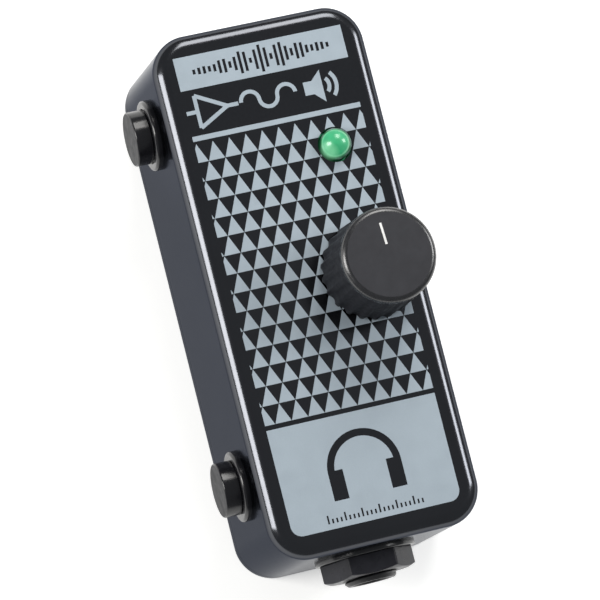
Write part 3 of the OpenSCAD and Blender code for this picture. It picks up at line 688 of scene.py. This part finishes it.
def make_cap(name, node, nut_node, place, stem_r, body):
    low, high = box_mm(node)
    head_r = (high.z - low.z) / 2
    head_top = -wall_x - low.x
    head_low = -wall_x - box_mm(nut_node)[0].x + 0.05
    stem_low = -wall_x - high.x
    soft = 0.3
    profile = [(0, stem_low), (stem_r - 0.4, stem_low), (stem_r, stem_low + 0.4), (stem_r, head_low),
               (head_r - 0.1, head_low), (head_r, head_low + 0.1)]
    profile += arc((head_r - soft, head_top - soft), soft, 0, 90, 6) + [(0, head_top)]
    cap = shade(turned(name, profile, place))
    settle(cap, body, "cap_grey", node, materials=[cap_side, cap_face])
    paint_end(cap, Vector((-1, 0, 0)), -low.x)


make_side_nut("phones_nut", "phones_jack_nut", at_phones, NOSE_HOLE_R)
make_side_nut("mini_nut", "mini_jack_nut", at_mini, MINI_HOLE_R)
make_cap("phones_cap", "phones_jack_cap", "phones_jack_nut", at_phones, 3.2, "phones_cap")
make_cap("mini_cap", "mini_jack_cap", "mini_jack_nut", at_mini, 1.75, "mini_cap")

# ---- Input jack: washer, hex nut and threaded nose ----

HEX_R = 8.4
HEX_EDGE_R = 0.6
HEX_TURN = math.radians(6)
NOSE_R = 4.76
PLUG_R = 3.25
THREAD_PITCH = 0.8
THREAD_DEPTH = 0.28

washer_low, washer_high = box_mm("input_jack_washer")
nut_low = box_mm("input_jack_nut")[0]
washer_t = washer_high.y - washer_low.y
nut_end = -wall_y - nut_low.y


def make_washer():
    outer_r = (washer_high.x - washer_low.x) / 2
    soft = 0.3
    profile = [(NOSE_HOLE_R, 0), (outer_r, 0)] + arc((outer_r - soft, washer_t - soft), soft, 0, 90, 6)
    profile.append((NOSE_HOLE_R, washer_t))
    settle(shade(turned("input_washer", profile, at_input, loop=True)), "case", "black_nut",
           "input_jack_washer", materials=[side_black])


def make_hex_nut():
    rings = []
    for z in (washer_t, nut_end):
        # in the part's own axes, so that HEX_TURN doesn't depend on how out_of_wall rolls its frame
        ring = []
        for k in range(6):
            corner = TURN * (k + 0.5) / 6 + HEX_TURN
            reach = HEX_R - HEX_EDGE_R / math.cos(TURN / 12)
            for step in range(-3, 4):
                a = corner + TURN / 12 * step / 3
                across = reach * math.sin(corner) + HEX_EDGE_R * math.sin(a)
                up = reach * math.cos(corner) + HEX_EDGE_R * math.cos(a)
                ring.append(Vector((input_axis.x - across, -wall_y - z, input_axis.z + up)))
        rings.append(ring)
    nut = stack("input_nut", rings)
    bevel = 0.55
    dome = turned("tool", [(0, washer_t - 1), (HEX_R + 0.1, washer_t - 1), (HEX_R + 0.1, nut_end - bevel),
                           (HEX_R - 2.2 * bevel, nut_end), (0, nut_end)], at_input, 144)
    combine(nut, "INTERSECT", dome)
    combine(nut, "DIFFERENCE", rod(NOSE_HOLE_R, washer_t - 1, nut_end + 1, at_input))
    round_edges = nut.modifiers.new("round_edges", "BEVEL")
    round_edges.width = 0.12 * MM
    round_edges.segments = 3
    round_edges.limit_method = "ANGLE"
    round_edges.angle_limit = math.radians(25)
    settle(shade(nut, 30), "case", "black_nut", "input_jack_nut")


def thread_radius(z):
    """Radius of the thread's surface as a function of angle, at height z."""
    def at(a):
        t = (z / THREAD_PITCH - a / TURN) % 1
        return NOSE_R - THREAD_DEPTH * abs(2 * t - 1)
    return at


def make_input_body():
    low, high = box_mm("input_jack_body")
    nose_end = -wall_y - low.y
    rear = -wall_y - high.y
    half_w = (high.x - low.x) / 2
    half_h = (high.z - low.z) / 2
    inner = 1.0
    front_wall = 1.8
    chamfer = 0.45
    rise = nose_end - chamfer + WALL
    steps = round(rise / 0.1)
    rings = [(NOSE_R - 0.3, -WALL - 0.5)]
    rings += [(thread_radius(z), z) for z in (-WALL + rise * k / steps for k in range(steps + 1))]
    rings += [(NOSE_R - chamfer, nose_end - 0.1), (NOSE_R - chamfer - 0.1, nose_end)]
    nose = stack("tool", [circle(r, z, 72, at_input) for r, z in rings])
    jack = block((-half_w, -half_h, rear), (half_w, half_h, -WALL), at_input)
    jack.name = "input_jack"
    combine(jack, "UNION", nose)
    room = block((-half_w + inner, -half_h + inner, rear + inner),
                 (half_w - inner, half_h - inner, -WALL - front_wall), at_input)
    mouth = turned("tool", [(0, -WALL - front_wall - 1), (PLUG_R, -WALL - front_wall - 1),
                            (PLUG_R, nose_end - 0.2), (PLUG_R + 0.3, nose_end + 0.1), (0, nose_end + 0.1)],
                   at_input, 96)
    root = -6.0
    slot = Vector((1.5, 1.8, 1.2))
    slots = [block(Vector((s * half_w, 0, root)) - slot, Vector((s * half_w, 0, root)) + slot, at_input)
             for s in (-1, 1)]
    combine(jack, "DIFFERENCE", room, mouth, *slots)
    settle(shade(jack, 40), "case", "black_nylon", "input_jack_body")


make_washer()
make_hex_nut()
make_input_body()

# ---- Finishes of the CAD nodes that stay ----

slot_of = {row["node"]: row["material_slot"] for row in frame["record"]["subparts"]}
for node, piece in frame["nodes"].items():
    if not piece.hide_render:
        piece.data.materials.clear()
        piece.data.materials.append(FINISHES[slot_of[node]])

# ---- Studio: pale floor and soft lights ----

FLOOR_HALF = 3.0
FLOOR_Z = -0.05
FLOOR_GLOW = 0.5
LIGHT_DISTANCE = 0.8
WARM = (1.0, 0.985, 0.96)
SKY = (0.93, 0.96, 1.0)
SKY_STRENGTH = 0.26


def make_floor():
    mesh = bpy.data.meshes.new("floor")
    corners = [(x * FLOOR_HALF, y * FLOOR_HALF, FLOOR_Z * MM)
               for x, y in ((-1, -1), (1, -1), (1, 1), (-1, 1))]
    mesh.from_pydata(corners, [], [(0, 1, 2, 3)])
    floor = bpy.data.objects.new("floor", mesh)
    scene.collection.objects.link(floor)
    s = Surface("pale_floor")
    low, high = shades((0.90, 0.90, 0.89), 0.01)
    s.colour(s.ramp(s.noise(40), (0.3, low), (0.7, high)))
    s.roughness(s.spread(s.noise(5), 0.6, 0.7))
    s.shader.inputs["Emission Color"].default_value = (1, 1, 0.99, 1)
    s.shader.inputs["Emission Strength"].default_value = FLOOR_GLOW
    # the floor is clear from below, so that the back cover can be looked at
    from_below = s.add("ShaderNodeNewGeometry").outputs["Backfacing"]
    clear = s.add("ShaderNodeBsdfTransparent").outputs["BSDF"]
    choice = s.add("ShaderNodeMixShader")
    s.join(from_below, choice.inputs[0])
    s.join(s.shader.outputs["BSDF"], choice.inputs[1])
    s.join(clear, choice.inputs[2])
    s.join(choice.outputs["Shader"], s.nodes["Material Output"].inputs["Surface"])
    mesh.materials.append(s.material)


def make_light(name, direction, size, power, tint=(1, 1, 1)):
    """Soft box that faces the object from a direction; size in metres, power in watts."""
    data = bpy.data.lights.new(name, "AREA")
    data.shape = "RECTANGLE"
    data.size, data.size_y = size
    data.energy = power
    data.color = tint
    light = bpy.data.objects.new(name, data)
    towards = Vector(direction).normalized()
    place = AIM + towards * LIGHT_DISTANCE
    turn = towards.to_track_quat("Z", "Y").to_matrix().to_4x4()
    light.matrix_world = Matrix.Translation(place) @ turn
    scene.collection.objects.link(light)


def make_world():
    world = bpy.data.worlds.new("studio")
    scene.world = world
    world.use_nodes = True
    sky = world.node_tree.nodes["Background"]
    sky.inputs["Color"].default_value = (*SKY, 1)
    sky.inputs["Strength"].default_value = SKY_STRENGTH


make_floor()
make_world()
make_light("left_box", (-0.86, 0.15, 0.49), (0.30, 0.50), 4.8, WARM)
make_light("far_box", (0.25, 0.71, 0.66), (0.34, 0.40), 3.0, WARM)
make_light("right_box", (0.77, 0.12, 0.63), (0.28, 0.28), 2.4)
